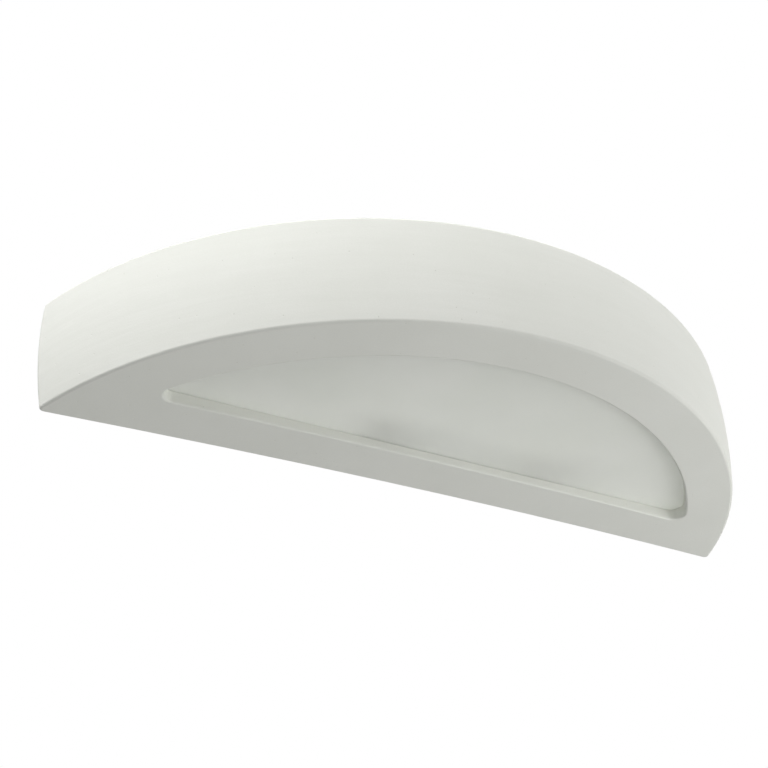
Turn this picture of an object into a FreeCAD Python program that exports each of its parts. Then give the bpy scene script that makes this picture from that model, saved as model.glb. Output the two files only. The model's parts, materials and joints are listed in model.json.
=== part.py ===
import FreeCAD, Part
import math
import os
from types import SimpleNamespace

import Sketcher
from FreeCAD import Vector

# Half-moon ceramic wall light, open at the top, with a frosted glass window in its floor.
# X runs along the wall, +Y goes into the wall and +Z is up. The origin is the middle of the two
# wall screws, on the wall. Every length is in millimetres.

SIZES = {
    # Ceramic shade. In plan it is a slice of a circle whose chord lies on the wall.
    "shade_width": 400.0,
    "shade_depth": 137.0,
    "shade_height": 59.5,
    "shade_draft": 4.0,            # how far the rim stands out past the underside
    "shade_crown": 1.9,            # how far the band bulges between underside and rim
    "underside_rise": 3.3,         # how far the middle of the underside is arched up
    "band_thickness": 7.0,
    "floor_thickness": 4.5,        # in the middle, where the underside is highest
    "back_thickness": 8.0,
    "end_round": 2.4,
    "edge_round": 1.5,
    "rim_round": 1.8,
    "inner_round": 5.0,
    # Half-moon opening in the floor
    "front_border": 24.6,
    "rear_border": 28.6,
    "opening_corner": 6.0,
    "lip_round": 1.0,
    # Openings in the back wall
    "window_inset": 5.0,           # from the studs' axes
    "window_margin": 2.0,          # above and below the wall bracket
    "window_corner": 6.0,
    "recess_depth": 2.0,
    "recess_gap": 2.5,
    "stud_gap": 1.0,
    # Glass plate on its pads
    "glass_thickness": 4.0,
    "glass_overlap": 9.0,
    "glass_corner": 8.0,
    "glass_edge": 0.6,
    "pad_thickness": 0.5,
    "pad_diameter": 7.0,
    "rear_pad_spacing": 210.0,
    "front_pad_spacing": 190.0,
    # Wall bracket, studs, washers and knurled nuts
    "fixing_height": 32.0,         # wall screws above the underside's ends
    "bracket_length": 216.0,
    "bracket_height": 34.0,
    "bracket_corner": 4.0,
    "bracket_sheet": 1.5,
    "slot_inset": 22.0,            # wall screws from the studs' axes
    "slot_length": 12.0,
    "slot_width": 5.0,
    "stud_inset": 8.0,             # from the wall bracket's ends
    "stud_diameter": 4.0,
    "stud_head_diameter": 8.0,
    "stud_spare": 2.0,             # thread left beyond the nut
    "washer_diameter": 12.0,
    "washer_thickness": 1.0,
    "nut_diameter": 13.0,
    "nut_length": 7.0,
    "nut_boss_diameter": 9.0,
    "nut_boss_length": 2.0,
    "knurl_count": 20.0,
    "knurl_width": 1.2,
    # Lamp bracket: a base strip with two arms and a flange under each arm
    "lamp_distance": 44.0,         # lamp axis from the wall
    "lamp_height": 3.0,            # lamp axis above the wall screws
    "strip_sheet": 1.2,
    "strip_inset": 3.0,            # below the wall bracket's top and above its bottom
    "strip_bend": 1.2,
    "arm_margin": 10.0,            # arm beyond the lamp axis
    "arm_nose_low": 10.0,
    "arm_nose_high": 9.0,
    "arm_taper": 16.0,
    "flange_width": 8.5,
    "flange_start": 8.0,
    "flange_end": 37.0,
    "rivet_inset": 6.0,            # from the arms' inner faces
    "rivet_rise": 9.0,
    "rivet_diameter": 3.2,
    "rivet_head_diameter": 5.6,
    "rivet_head_length": 1.0,
    # Heat shield on its pillars
    "shield_distance": 19.3,       # back of the shield from the wall
    "shield_sheet": 0.8,
    "shield_margin": 4.5,          # past the pillars' axes
    "shield_low": 7.5,
    "shield_high": 10.0,
    "shield_lip": 6.0,
    "pillar_gap": 3.5,             # from the grommet's flange to a pillar's axis
    "pillar_across_flats": 5.5,
    "shield_screw_diameter": 3.0,
    "shield_screw_head": 5.5,
    "shield_screw_head_length": 2.0,
    "shield_screw_length": 8.0,
    "screw_slot": 0.8,
    "screw_head_round": 0.5,
    # Double-ended linear lamp
    "lamp_length": 78.3,
    "contact_recess": 1.7,
    "contact_plate": 0.85,
    "contact_diameter": 3.2,
    "cap_diameter": 7.0,
    "cap_length": 9.6,
    "pinch_width": 5.6,
    "pinch_height": 2.4,
    "pinch_grip": 4.5,             # pinch inside the cap
    "tube_end_diameter": 3.4,
    "tube_diameter": 8.0,
    "tube_wall": 1.0,
    "tube_inset": 17.15,           # full width of the tube, from the lamp's ends
    "tube_shoulder": 4.0,
    "shoulder_radius": 5.0,
    "cavity_taper": 1.5,
    "lead_diameter": 0.8,
    "coil_diameter": 1.6,
    "coil_inset": 1.5,             # from where the tube narrows
    "support_wire": 0.4,
    "support_spoke": 0.3,
    "support_gap": 0.05,
    "support_pitch": 13.0,
    # Lampholders and sprung contacts
    "cup_grip": 1.85,              # how far the cap sits in the cup
    "holder_length": 15.7,
    "holder_width": 13.0,
    "holder_above": 8.0,
    "holder_below": 12.0,
    "holder_round": 1.0,
    "cup_diameter": 8.4,
    "cup_depth": 4.0,
    "cup_partition": 1.7,
    "tip_diameter": 2.6,
    "running_gap": 0.1,
    "chamber_diameter": 6.4,
    "contact_travel": 2.0,
    "stop_gap": 0.2,
    "collar_length": 1.5,
    "stem_diameter": 2.4,
    "stem_length": 1.2,
    "spring_wire": 0.5,
    "spring_gap": 0.3,
    "spring_turns": 4.0,
    "end_plate": 1.5,
    "tail_diameter": 2.4,
    "tail_reach": 4.8,
    "tail_hole": 5.0,
    "barrel_diameter": 3.8,
    "barrel_above": 6.0,
    "barrel_below": 1.9,
    "holder_screw_drop": 8.0,
    "holder_screw_diameter": 3.0,
    "holder_screw_head": 5.5,
    "holder_screw_head_length": 2.0,
    "holder_screw_length": 7.0,
    # Terminal block
    "block_width": 28.0,
    "block_depth": 12.0,
    "block_height": 18.0,
    "block_round": 0.8,
    "pole_pitch": 9.0,
    "pole_depth": 5.0,             # clamp axis behind the block's front
    "clamp_diameter": 4.8,
    "clamp_bore": 2.6,
    "clamp_length": 15.0,
    "well_diameter": 3.4,
    "well_rise": 4.2,
    "clamp_screw_diameter": 2.8,
    "clamp_screw_sink": 0.8,
    "clamp_screw_slot": 0.6,
    "block_screw_diameter": 2.6,
    "block_screw_head": 4.6,
    "block_screw_head_length": 1.6,
    # Earth point, wires and cable grommet
    "earth_offset": 25.0,
    "earth_screw_diameter": 4.0,
    "earth_screw_head": 7.0,
    "earth_screw_head_length": 2.6,
    "tag_diameter": 8.0,
    "tag_thickness": 0.8,
    "tag_barrel_diameter": 3.4,
    "tag_barrel_start": 3.6,
    "tag_barrel_end": 8.0,
    "wire_diameter": 2.2,
    "core_diameter": 1.2,
    "core_length": 5.0,
    "lead_wire_rise": 3.0,         # above the lamp bracket
    "earth_wire_rise": 4.5,        # above the terminal block
    "bend_share": 0.45,            # bend radius as a share of the shorter run
    "grommet_offset": 25.0,
    "grommet_bore": 9.0,
    "grommet_neck": 16.0,
    "grommet_flange": 20.0,
    "grommet_rear": 21.0,
    "grommet_front": 1.6,
    "grommet_gap": 0.5,
}

DOC = FreeCAD.newDocument("WallLight")
SHEET = DOC.addObject("Spreadsheet::Sheet", "Sizes")
BEYOND = 20.0                      # how far a cutting outline runs past what it cuts
CLOSE = 0.01                       # how near an edge must be to count as lying at a place
TINY = 1e-4
EDGE_SAMPLES = 5
FULL_TURN = 360.0


class Size:
    """A number together with the sheet formula that gives it."""

    def __init__(self, number, formula):
        self.number = number
        self.formula = formula

    def __add__(self, other):
        other = as_size(other)
        return Size(self.number + other.number, f"({self.formula} + {other.formula})")

    def __sub__(self, other):
        other = as_size(other)
        return Size(self.number - other.number, f"({self.formula} - {other.formula})")

    def __mul__(self, other):
        other = as_size(other)
        return Size(self.number * other.number, f"({self.formula} * {other.formula})")

    def __truediv__(self, other):
        other = as_size(other)
        return Size(self.number / other.number, f"({self.formula} / {other.formula})")

    def __neg__(self):
        return Size(-self.number, f"(0 - {self.formula})")


def as_size(thing):
    if isinstance(thing, Size):
        return thing
    return Size(float(thing), f"({float(thing)})")


ZERO = as_size(0)
MIDDLE = (ZERO, ZERO)


def root(size):
    return Size(math.sqrt(size.number), f"sqrt({size.formula})")


def leg(long_side, short_side):
    """Third side of a right triangle, from its longest side and another."""
    return root(long_side * long_side - short_side * short_side)


def radius_through(half_chord, rise):
    """Radius of the arc that rises by rise over the middle of its chord."""
    return (half_chord * half_chord + rise * rise) / (rise * 2)


def fill_sheet():
    for row, (name, number) in enumerate(SIZES.items(), 1):
        SHEET.set(f"A{row}", name.replace("_", " "))
        SHEET.set(f"B{row}", str(number))
        SHEET.setAlias(f"B{row}", name)
    DOC.recompute()
    return SimpleNamespace(**{name: Size(number, f"Sizes.{name}") for name, number in SIZES.items()})


def bind(thing, name, size):
    thing.setExpression(name, as_size(size).formula)


# Sketches. XY sketches look down, XZ sketches have X and Z as their axes and face the front (-Y),
# and YZ sketches have Y and Z as their axes and face +X. An offset moves one along its own normal.

def sketch_on(body, role, offset=0, across=0):
    sketch = body.newObject("Sketcher::SketchObject", f"{body.Name}_sketch")
    plane = next(item for item in body.Origin.OriginFeatures if item.Role == role)
    sketch.AttachmentSupport = (plane, [""])
    sketch.MapMode = "FlatFace"
    bind(sketch, "AttachmentOffset.Base.z", offset)
    bind(sketch, "AttachmentOffset.Base.x", across)
    return sketch


def pin(sketch, side, end, place):
    """Hold one end (1 or 2) or the centre (3) of a side at a bound place."""
    for kind, size in zip(("DistanceX", "DistanceY"), place):
        size = as_size(size)
        number = sketch.addConstraint(Sketcher.Constraint(kind, side, end, size.number))
        bind(sketch, f"Constraints[{number}]", size)


def hold(sketch, kind, side, size):
    number = sketch.addConstraint(Sketcher.Constraint(kind, side, as_size(size).number))
    bind(sketch, f"Constraints[{number}]", size)


def flat(place):
    return Vector(as_size(place[0]).number, as_size(place[1]).number, 0)


def bow(start, end, radius):
    """Short arc between two points. A positive radius bulges to the right of the way there."""
    first, last = (start, end) if radius > 0 else (end, start)
    chord = last - first
    left = Vector(-chord.y, chord.x, 0).normalize()
    centre = (first + last) / 2 + left * math.sqrt(radius ** 2 - chord.Length ** 2 / 4)
    begin = math.atan2(first.y - centre.y, first.x - centre.x)
    finish = math.atan2(last.y - centre.y, last.x - centre.x)
    if finish < begin:
        finish += 2 * math.pi
    return Part.ArcOfCircle(Part.Circle(centre, Vector(0, 0, 1), abs(radius)), begin, finish)


def outline(sketch, points, arcs=None):
    """Closed outline through points; arcs gives the signed radius of each side that is an arc."""
    arcs = arcs or {}
    first = sketch.GeometryCount
    count = len(points)
    for side, point in enumerate(points):
        start = flat(point)
        end = flat(points[(side + 1) % count])
        if side in arcs:
            sketch.addGeometry(bow(start, end, arcs[side].number), False)
        else:
            sketch.addGeometry(Part.LineSegment(start, end), False)
    backward = [side in arcs and arcs[side].number < 0 for side in range(count)]
    for side, point in enumerate(points):
        following = (side + 1) % count
        leaving = (first + side, 1 if backward[side] else 2)
        entering = (first + following, 2 if backward[following] else 1)
        sketch.addConstraint(Sketcher.Constraint("Coincident", *leaving, *entering))
        pin(sketch, first + side, 2 if backward[side] else 1, point)
        if side in arcs:
            radius = arcs[side] if arcs[side].number > 0 else -arcs[side]
            hold(sketch, "Radius", first + side, radius)


def circle(sketch, place, diameter):
    radius = as_size(diameter).number / 2
    side = sketch.addGeometry(Part.Circle(flat(place), Vector(0, 0, 1), radius), False)
    pin(sketch, side, 3, place)
    hold(sketch, "Diameter", side, diameter)


def rectangle(sketch, low, high, corner=None):
    """Upright rectangle between two corners, with rounded corners where a radius is given."""
    (left, bottom), (right, top) = low, high
    left, bottom, right, top = (as_size(size) for size in (left, bottom, right, top))
    if corner is None:
        outline(sketch, [(left, bottom), (right, bottom), (right, top), (left, top)])
        return
    points = [
        (left + corner, bottom), (right - corner, bottom), (right, bottom + corner), (right, top - corner),
        (right - corner, top), (left + corner, top), (left, top - corner), (left, bottom + corner),
    ]
    outline(sketch, points, {side: corner for side in (1, 3, 5, 7)})


def slot(sketch, place, length, width):
    """Slot along the sketch's first axis, centred on a place."""
    half_run = (length - width) / 2
    ends = [(place[0] + half_run, place[1]), (place[0] - half_run, place[1])]
    first = sketch.GeometryCount
    up = Vector(0, width.number / 2, 0)
    centres = [flat(end) for end in ends]
    quarter = math.pi / 2
    for centre, begin, side in zip(centres, (-quarter, quarter), (up, -up)):
        round_end = Part.Circle(centre, Vector(0, 0, 1), width.number / 2)
        sketch.addGeometry(Part.ArcOfCircle(round_end, begin, begin + math.pi), False)
        other = centres[1] if centre is centres[0] else centres[0]
        sketch.addGeometry(Part.LineSegment(centre + side, other + side), False)
    for side in range(4):
        following = first + (side + 1) % 4
        sketch.addConstraint(Sketcher.Constraint("Tangent", first + side, 2, following, 1))
    for side, end in zip((first, first + 2), ends):
        pin(sketch, side, 3, end)
        hold(sketch, "Radius", side, width / 2)


def hexagon(sketch, place, across_flats):
    """Hexagon with two flats level, centred on a place."""
    side = across_flats / math.sqrt(3)
    rise = across_flats / 2
    steps = [(side / 2, -rise), (side, ZERO), (side / 2, rise)]
    steps += [(-x, -y) for x, y in steps]
    outline(sketch, [(place[0] + x, place[1] + y) for x, y in steps])


def axis_line(sketch, start, end):
    """Construction line that a turned feature spins round."""
    side = sketch.addGeometry(Part.LineSegment(flat(start), flat(end)), True)
    pin(sketch, side, 1, start)
    pin(sketch, side, 2, end)


# Features. Each cut is measured, because one that misses the solid raises nothing by itself.

def new_body(name):
    return DOC.addObject("PartDesign::Body", name)


def volume(body):
    return 0 if body.Tip is None else body.Tip.Shape.Volume


def measured(body, feature, before, grows):
    """Check that a new feature really added to its body, or took something away."""
    DOC.recompute()
    change = volume(body) - before
    if (change if grows else -change) < TINY:
        raise RuntimeError(f"{feature.Name} of {body.Name} changes its volume by {change}")
    return feature


def pad(body, sketch, length, reverse=False, both=False):
    before = volume(body)
    feature = body.newObject("PartDesign::Pad", f"{body.Name}_pad")
    feature.Profile = sketch
    bind(feature, "Length", length)
    feature.Reversed = reverse
    feature.Midplane = both
    return measured(body, feature, before, True)


def pocket(body, sketch, depth=None, along=False, both=False):
    """Cut against the sketch's normal, or along it; with no depth it goes right through."""
    before = volume(body)
    feature = body.newObject("PartDesign::Pocket", f"{body.Name}_pocket")
    feature.Profile = sketch
    feature.Reversed = along
    feature.Midplane = both
    if depth is None:
        feature.Type = "ThroughAll"
    else:
        bind(feature, "Length", depth)
    return measured(body, feature, before, False)


def spin(body, kind, sketch, angle, both):
    before = volume(body)
    feature = body.newObject(f"PartDesign::{kind}", f"{body.Name}_{kind}")
    feature.Profile = sketch
    feature.ReferenceAxis = (sketch, ["Axis0"])
    feature.Angle = angle
    feature.Midplane = both
    return measured(body, feature, before, kind == "Revolution")


def revolve(body, sketch, angle=FULL_TURN, both=False):
    return spin(body, "Revolution", sketch, angle, both)


def groove(body, sketch):
    return spin(body, "Groove", sketch, FULL_TURN, False)


def subtract(body, tool):
    before = volume(body)
    feature = body.newObject("PartDesign::Boolean", f"{body.Name}_boolean")
    feature.Type = "Cut"
    feature.setObjects([tool])
    return measured(body, feature, before, False)


def fillet(body, radius, wanted):
    """Round the edges of the body's tip that wanted picks out."""
    DOC.recompute()
    tip = body.Tip
    names = [f"Edge{number}" for number, edge in enumerate(tip.Shape.Edges, 1) if wanted(edge)]
    if not names:
        raise RuntimeError(f"no edge to round on {body.Name}")
    feature = body.newObject("PartDesign::Fillet", f"{body.Name}_fillet")
    feature.Base = (tip, names)
    bind(feature, "Radius", radius)
    DOC.recompute()
    return feature


def mirrored(body, features):
    """Repeat features of the body on the other side of the middle plane."""
    before = volume(body)
    copy = body.newObject("PartDesign::Mirrored", f"{body.Name}_mirror")
    copy.Originals = features
    plane = next(item for item in body.Origin.OriginFeatures if item.Role == "YZ_Plane")
    copy.MirrorPlane = (plane, [""])
    body.Tip = copy
    return measured(body, copy, before, True)


def repeated_round(body, feature, sketch, count):
    """Repeat a cut at even steps round the middle of its sketch."""
    before = volume(body)
    ring = body.newObject("PartDesign::PolarPattern", f"{body.Name}_ring")
    ring.Originals = [feature]
    ring.Axis = (sketch, ["N_Axis"])
    ring.Angle = FULL_TURN
    bind(ring, "Occurrences", count)
    body.Tip = ring
    return measured(body, ring, before, False)


def opposite(source, name):
    """Mirror image of a whole piece across the middle plane."""
    copy = DOC.addObject("Part::Mirroring", name)
    copy.Source = source
    copy.Normal = Vector(1, 0, 0)
    return copy


def pair(source, name):
    """A piece and its mirror image as one group of separate solids."""
    group = DOC.addObject("Part::Compound", name)
    group.Links = [source, opposite(source, f"{name}_other")]
    return group


def upright(edge):
    """True for a straight edge along Z."""
    box = edge.BoundBox
    return box.XLength < TINY and box.YLength < TINY and box.ZLength > TINY


def near(value, target):
    return abs(value - target) < CLOSE


def stands_at(edge, y):
    """True for an edge in the plane across Y at a place, unless it is level."""
    box = edge.BoundBox
    return near(box.YMin, y) and near(box.YMax, y) and box.ZLength > TINY


# Places along the wall that more than one piece uses

def stud_axis(d):
    return d.bracket_length / 2 - d.stud_inset


def holder_mouth(d):
    return d.lamp_length / 2 - d.cup_grip


def arm_inside(d):
    """Inner face of an arm, where the lampholder stands against it."""
    return holder_mouth(d) + d.holder_length


def strip_front(d):
    return d.bracket_sheet + d.strip_sheet


def strip_top(d):
    return d.bracket_height / 2 - d.strip_inset


def rivet_places(d):
    across = arm_inside(d) - d.rivet_inset
    return [(across * way, d.rivet_rise * rise) for way in (-1, 1) for rise in (-1, 1)]


def pillar_axis(d):
    return d.grommet_offset + d.grommet_flange / 2 + d.pillar_gap


# Ceramic shade

def shade_frame(d):
    """Places that the shade, the glass and their fits share."""
    half_width = d.shade_width / 2
    radius = radius_through(half_width, d.shade_depth)
    chord = root(d.shade_height * d.shade_height + d.shade_draft * d.shade_draft)
    arch_radius = radius_through(half_width, d.underside_rise)
    underside = -d.fixing_height
    return SimpleNamespace(
        radius=radius,
        axis=radius - d.shade_depth,
        crown_radius=radius_through(chord / 2, d.shade_crown),
        underside=underside,
        rim=underside + d.shade_height,
        arch_radius=arch_radius,
        arch_centre=underside + d.underside_rise - arch_radius,
        opening_radius=radius - d.front_border,
        glass_radius=radius - d.front_border + d.glass_overlap,
        glass_rear=d.glass_overlap - d.rear_border,
        floor_top=underside + d.underside_rise + d.floor_thickness,
        glass_bottom=underside + d.underside_rise + d.floor_thickness + d.pad_thickness,
    )


def half_moon(sketch, frame, radius, rear):
    """Slice of a circle about the shade's axis, with its straight side at rear."""
    half = leg(radius, frame.axis - rear)
    outline(sketch, [(half, rear), (-half, rear)], {1: radius})


def band_profile(sketch, d, frame, inset, extra):
    """Half section of the band's face, moved in by inset and carried up past the rim by extra."""
    low = inset - d.shade_depth
    high = low - d.shade_draft
    top = frame.rim + extra
    foot = (frame.axis, frame.underside)
    points = [(frame.axis, top), (high, top), (high, frame.rim), (low, frame.underside), foot]
    outline(sketch, points, {2: frame.crown_radius})
    axis_line(sketch, foot, (frame.axis, top))


def cut_behind(body, frame, wall):
    """Cut away everything behind the plane y = wall."""
    sketch = sketch_on(body, "XY_Plane")
    side = frame.radius + BEYOND
    rectangle(sketch, (-side, wall), (side, frame.axis + BEYOND))
    pocket(body, sketch, both=True)


def cut_below_arch(body, frame):
    """Cut away everything below the underside's arch."""
    sketch = sketch_on(body, "XZ_Plane")
    circle(sketch, (ZERO, frame.arch_centre), frame.arch_radius * 2)
    pocket(body, sketch, both=True)


def make_hollow(d, frame):
    """The space inside the shade, later cut out of it."""
    body = new_body("shade_hollow")
    sketch = sketch_on(body, "YZ_Plane")
    band_profile(sketch, d, frame, d.band_thickness, as_size(BEYOND))
    revolve(body, sketch, FULL_TURN / 2, both=True)
    cut_behind(body, frame, -d.back_thickness)
    below = sketch_on(body, "XY_Plane", frame.floor_top)
    side = frame.radius + BEYOND
    rectangle(below, (-side, -side), (side, side))
    pocket(body, below, as_size(BEYOND * 2))
    back = -d.back_thickness.number
    fillet(body, d.inner_round, lambda edge: stands_at(edge, back))
    return body


def make_shade(d, frame):
    body = new_body("ceramic_shade")
    sketch = sketch_on(body, "YZ_Plane")
    band_profile(sketch, d, frame, ZERO, as_size(BEYOND))
    revolve(body, sketch, FULL_TURN / 2, both=True)
    cut_behind(body, frame, ZERO)
    above = sketch_on(body, "XY_Plane", frame.rim)
    side = frame.radius + BEYOND
    rectangle(above, (-side, -side), (side, side))
    pocket(body, above, as_size(BEYOND * 2), along=True)
    fillet(body, d.end_round, lambda edge: stands_at(edge, 0))
    cut_below_arch(body, frame)
    subtract(body, make_hollow(d, frame))

    opening = sketch_on(body, "XY_Plane")
    half_moon(opening, frame, frame.opening_radius, -d.rear_border)
    pocket(body, opening)
    rear = -d.rear_border.number
    fillet(body, d.opening_corner, lambda edge: upright(edge) and near(edge.BoundBox.YMin, rear))

    half_length = d.bracket_length / 2 + d.recess_gap
    half_height = d.bracket_height / 2 + d.recess_gap
    recess = sketch_on(body, "XZ_Plane")
    rectangle(recess, (-half_length, -half_height), (half_length, half_height), d.bracket_corner)
    pocket(body, recess, d.recess_depth, along=True)
    through = sketch_on(body, "XZ_Plane")
    half_width = stud_axis(d) - d.window_inset
    half_rise = d.bracket_height / 2 + d.window_margin
    rectangle(through, (-half_width, -half_rise), (half_width, half_rise), d.window_corner)
    pocket(body, through, d.back_thickness + d.recess_depth, along=True)
    holes = sketch_on(body, "XZ_Plane")
    for way in (-1, 1):
        circle(holes, (stud_axis(d) * way, ZERO), d.stud_diameter + d.stud_gap * 2)
    pocket(body, holes, d.back_thickness + d.recess_depth, along=True)

    round_shade(body, d, frame)
    return body


def round_shade(body, d, frame):
    """Soften the underside's edge, the opening's lower edge and both edges of the rim."""
    outer = frame.radius.number
    rim = frame.rim.number
    opening = frame.opening_radius.number

    def reach(edge):
        """Furthest that an edge lies from the shade's axis, in plan."""
        points = edge.discretize(EDGE_SAMPLES)
        return max(math.hypot(point.x, point.y - frame.axis.number) for point in points)

    def on_underside(edge):
        """True where the edge lies on the arched underside."""
        arch = frame.arch_radius.number
        middle = frame.arch_centre.number
        points = edge.discretize(EDGE_SAMPLES)
        return all(near(math.hypot(point.x, point.z - middle), arch) for point in points)

    def outer_edge(edge):
        return on_underside(edge) and (reach(edge) > outer - CLOSE or near(edge.BoundBox.YMax, 0))

    def lip_edge(edge):
        return on_underside(edge) and reach(edge) < opening + CLOSE

    fillet(body, d.lip_round, lip_edge)
    fillet(body, d.edge_round, outer_edge)
    fillet(body, d.rim_round,
           lambda edge: near(edge.BoundBox.ZMin, rim) and near(edge.BoundBox.ZMax, rim))


def make_glass(d, frame):
    body = new_body("diffuser_glass")
    sketch = sketch_on(body, "XY_Plane", frame.glass_bottom)
    half_moon(sketch, frame, frame.glass_radius, frame.glass_rear)
    pad(body, sketch, d.glass_thickness)
    fillet(body, d.glass_corner, upright)
    fillet(body, d.glass_edge, lambda edge: edge.BoundBox.ZLength < TINY)
    return body


def make_glass_pads(d, frame):
    """Pads between the floor's level inside and the glass."""
    body = new_body("glass_pads")
    sketch = sketch_on(body, "XY_Plane", frame.glass_bottom)
    inset = d.glass_overlap / 2
    half_front = d.front_pad_spacing / 2
    front = frame.axis - leg(frame.opening_radius + inset, half_front)
    for way in (-1, 1):
        circle(sketch, (d.rear_pad_spacing / 2 * way, inset - d.rear_border), d.pad_diameter)
        circle(sketch, (half_front * way, front), d.pad_diameter)
    pad(body, sketch, d.pad_thickness, reverse=True)
    return body


# Wall bracket and what holds the shade on it

def make_wall_bracket(d):
    body = new_body("wall_bracket")
    plate = sketch_on(body, "XZ_Plane")
    half_length, half_height = d.bracket_length / 2, d.bracket_height / 2
    rectangle(plate, (-half_length, -half_height), (half_length, half_height), d.bracket_corner)
    pad(body, plate, d.bracket_sheet)
    holes = sketch_on(body, "XZ_Plane")
    for way in (-1, 1):
        slot(holes, ((stud_axis(d) - d.slot_inset) * way, ZERO), d.slot_length, d.slot_width)
        circle(holes, (stud_axis(d) * way, ZERO), d.stud_head_diameter)
    for place in rivet_places(d):
        circle(holes, place, d.rivet_diameter)
    circle(holes, (-d.grommet_offset, ZERO), d.grommet_rear + d.grommet_gap * 2)
    circle(holes, (d.earth_offset, ZERO), d.earth_screw_diameter)
    pocket(body, holes, d.bracket_sheet, along=True)
    return body


def make_stud(d):
    body = new_body("shade_stud")
    head = sketch_on(body, "XZ_Plane", 0, stud_axis(d))
    circle(head, MIDDLE, d.stud_head_diameter)
    pad(body, head, d.bracket_sheet)
    shank = sketch_on(body, "XZ_Plane", 0, stud_axis(d))
    circle(shank, MIDDLE, d.stud_diameter)
    stack = d.washer_thickness + d.nut_boss_length + d.nut_length
    pad(body, shank, d.back_thickness + stack + d.stud_spare)
    return body


def make_washer(d):
    body = new_body("stud_washer")
    ring = sketch_on(body, "XZ_Plane", d.back_thickness, stud_axis(d))
    circle(ring, MIDDLE, d.washer_diameter)
    circle(ring, MIDDLE, d.stud_diameter)
    pad(body, ring, d.washer_thickness)
    return body


def make_thumb_nut(d):
    body = new_body("thumb_nut")
    seat = d.back_thickness + d.washer_thickness
    boss = sketch_on(body, "XZ_Plane", seat, stud_axis(d))
    circle(boss, MIDDLE, d.nut_boss_diameter)
    pad(body, boss, d.nut_boss_length + d.nut_length)
    grip = sketch_on(body, "XZ_Plane", seat + d.nut_boss_length, stud_axis(d))
    circle(grip, MIDDLE, d.nut_diameter)
    pad(body, grip, d.nut_length)
    flute = sketch_on(body, "XZ_Plane", seat + d.nut_boss_length, stud_axis(d))
    circle(flute, (d.nut_diameter / 2, ZERO), d.knurl_width)
    repeated_round(body, pocket(body, flute, d.nut_length, along=True), flute, d.knurl_count)
    bore = sketch_on(body, "XZ_Plane", seat, stud_axis(d))
    circle(bore, MIDDLE, d.stud_diameter)
    pocket(body, bore, d.nut_boss_length + d.nut_length, along=True)
    return body


# Lamp bracket, rivets, heat shield and its pillars

def make_lamp_bracket(d):
    body = new_body("lamp_bracket")
    inside = arm_inside(d)
    outside = inside + d.strip_sheet
    half = strip_top(d)
    strip = sketch_on(body, "XZ_Plane", d.bracket_sheet)
    rectangle(strip, (-outside, -half), (outside, half))
    pad(body, strip, d.strip_sheet)

    nose = -d.lamp_distance - d.arm_margin
    low, high = d.lamp_height - d.arm_nose_low, d.lamp_height + d.arm_nose_high
    bend = nose + d.arm_taper
    arm = sketch_on(body, "YZ_Plane", inside)
    back = -d.bracket_sheet
    points = [(back, -half), (bend, -half), (nose, low), (nose, high), (bend, half), (back, half)]
    outline(arm, points)
    right_arm = pad(body, arm, d.strip_sheet)
    flange = sketch_on(body, "XY_Plane", -half)
    rectangle(flange, (inside - d.flange_width, -d.flange_end), (outside, -d.flange_start))
    right_flange = pad(body, flange, d.strip_sheet)
    mirrored(body, [right_arm, right_flange])
    corner_x, corner_y = outside.number, back.number

    def outer_corner(edge):
        box = edge.BoundBox
        return upright(edge) and near(abs(box.XMin), corner_x) and near(box.YMin, corner_y)

    fillet(body, d.strip_bend, outer_corner)

    holes = sketch_on(body, "XZ_Plane", d.bracket_sheet)
    for place in rivet_places(d):
        circle(holes, place, d.rivet_diameter)
    for way in (-1, 1):
        circle(holes, (pillar_axis(d) * way, ZERO), d.shield_screw_diameter)
    circle(holes, (-d.grommet_offset, ZERO), d.grommet_neck)
    circle(holes, (d.earth_offset, ZERO), d.earth_screw_diameter)
    circle(holes, (d.pole_pitch / 2, ZERO), d.block_screw_diameter)
    pocket(body, holes, d.strip_sheet, along=True)
    side_holes = sketch_on(body, "YZ_Plane")
    circle(side_holes, (-d.lamp_distance, d.lamp_height), d.tail_hole)
    circle(side_holes, (-d.lamp_distance, d.lamp_height - d.holder_screw_drop), d.holder_screw_diameter)
    pocket(body, side_holes, both=True)
    return body


def make_rivets(d):
    body = new_body("bracket_rivets")
    heads = sketch_on(body, "XZ_Plane", strip_front(d))
    shanks = sketch_on(body, "XZ_Plane")
    for place in rivet_places(d):
        circle(heads, place, d.rivet_head_diameter)
        circle(shanks, place, d.rivet_diameter)
    pad(body, heads, d.rivet_head_length)
    pad(body, shanks, strip_front(d) + d.rivet_head_length / 2)
    return body


def make_heat_shield(d):
    body = new_body("heat_shield")
    profile = sketch_on(body, "YZ_Plane")
    back = -d.shield_distance
    face = back - d.shield_sheet
    tip = face - d.shield_lip
    slant = d.shield_sheet / math.sqrt(2)
    turn = d.shield_sheet * (math.sqrt(2) - 1)
    low, high = -d.shield_low, d.shield_high
    outline(profile, [
        (tip, low - d.shield_lip), (tip + slant, low - d.shield_lip - slant),
        (back, low - turn), (back, high + turn),
        (tip + slant, high + d.shield_lip + slant), (tip, high + d.shield_lip),
        (face, high), (face, low),
    ])
    pad(body, profile, (pillar_axis(d) + d.shield_margin) * 2, both=True)
    holes = sketch_on(body, "XZ_Plane", d.shield_distance)
    for way in (-1, 1):
        circle(holes, (pillar_axis(d) * way, ZERO), d.shield_screw_diameter)
    pocket(body, holes, d.shield_sheet, along=True)
    return body


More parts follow.
